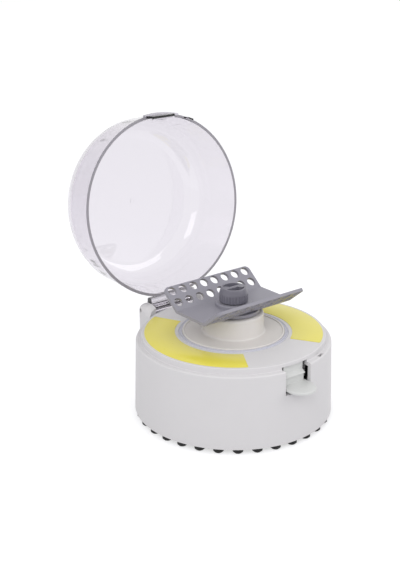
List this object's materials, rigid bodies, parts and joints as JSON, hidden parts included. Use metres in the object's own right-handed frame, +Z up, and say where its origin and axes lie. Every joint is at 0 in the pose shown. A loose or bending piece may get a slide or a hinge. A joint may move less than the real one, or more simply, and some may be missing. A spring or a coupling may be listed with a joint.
{
  "type": "microcentrifuge",
  "caption": "Small round bench centrifuge with a hinged clear domed lid, a folded strip-tube rotor held by a knob, a front latch and studded rubber feet.",
  "frame": {"origin": "on the rotor's axis, at the surface that the feet stand on", "axes": "+Z up along the rotor's axis, +X to the right, -Y towards the front with the latch, +Y towards the hinge"},
  "size_m": [0.1336, 0.2017, 0.1908],
  "materials": {
    "housing_plastic": "fine satin moulded surface",
    "hub_plastic": "fine satin moulded surface",
    "seal_grey": "soft satin",
    "label_film": "smooth printed film",
    "foot_rubber": "matt",
    "screw_steel": "zinc plated",
    "pin_steel": "ground",
    "clear_lid": "clear and polished",
    "switch_black": "matt",
    "motor_steel": "zinc plated can",
    "black_rubber": "matt",
    "brass": "turned",
    "rotor_plastic": "satin moulded surface",
    "knob_plastic": "satin moulded surface",
    "board_green": "solder mask"
  },
  "bodies": {
    "base": {"main_housing": "housing_plastic", "hub_cover": "hub_plastic", "seal_ring": "seal_grey", "left_label": "label_film", "right_label": "label_film", "bottom_cover": "housing_plastic", "foot_ring": "foot_rubber", "bottom_screws": "screw_steel", "hub_cover_screws": "screw_steel", "hinge_pin": "pin_steel", "latch_pin": "pin_steel", "latch_spring": "pin_steel", "safety_switch": "switch_black", "switch_screws": "screw_steel", "drive_motor": "motor_steel", "motor_end_cap": "switch_black", "motor_terminals": "brass", "motor_damper": "black_rubber", "motor_screws": "screw_steel", "control_board": "board_green", "board_screws": "screw_steel", "power_inlet": "switch_black"},
    "lid": {"lid_dome": "clear_lid"},
    "rotor": {"motor_spindle": "pin_steel", "drive_adapter": "brass", "rotor_tray": "rotor_plastic"},
    "washer": {"knob_washer": "switch_black"},
    "knob": {"rotor_knob": "knob_plastic", "knob_insert": "brass"},
    "latch": {"latch_lever": "housing_plastic"},
    "button": {"switch_button": "switch_black"}
  },
  "joints": [
    {"name": "lid_hinge", "type": "hinge", "parent": "base", "child": "lid", "pos_m": [0, 0.07044, 0.05588], "axis": [1, 0, 0], "range_deg": [0, 97.2]},
    {"name": "rotor_spin", "type": "hinge", "parent": "base", "child": "rotor", "pos_m": [0, 0, 0.0737], "axis": [0, 0, 1], "continuous": true},
    {"name": "knob_rise", "type": "slide", "parent": "rotor", "child": "washer", "axis": [0, 0, 1], "range_m": [0, 0.0016]},
    {"name": "knob_turn", "type": "hinge", "parent": "washer", "child": "knob", "pos_m": [0, 0, 0.0787], "axis": [0, 0, 1], "range_deg": [0, 720]},
    {"name": "latch_press", "type": "hinge", "parent": "base", "child": "latch", "pos_m": [0, -0.0562, 0.0512], "axis": [1, 0, 0], "range_deg": [0, 10], "stiffness_Nm_per_rad": 0.15, "springref_deg": -8.59, "deforming": ["latch_spring"]},
    {"name": "button_press", "type": "slide", "parent": "base", "child": "button", "axis": [0, 0, -1], "range_m": [0, 0.0012], "stiffness_N_per_m": 300, "springref_m": -0.003}
  ],
  "couplings": [
    {"joint": "knob_rise", "follows": "knob_turn", "m_per_rad": 0.00012732}
  ]
}
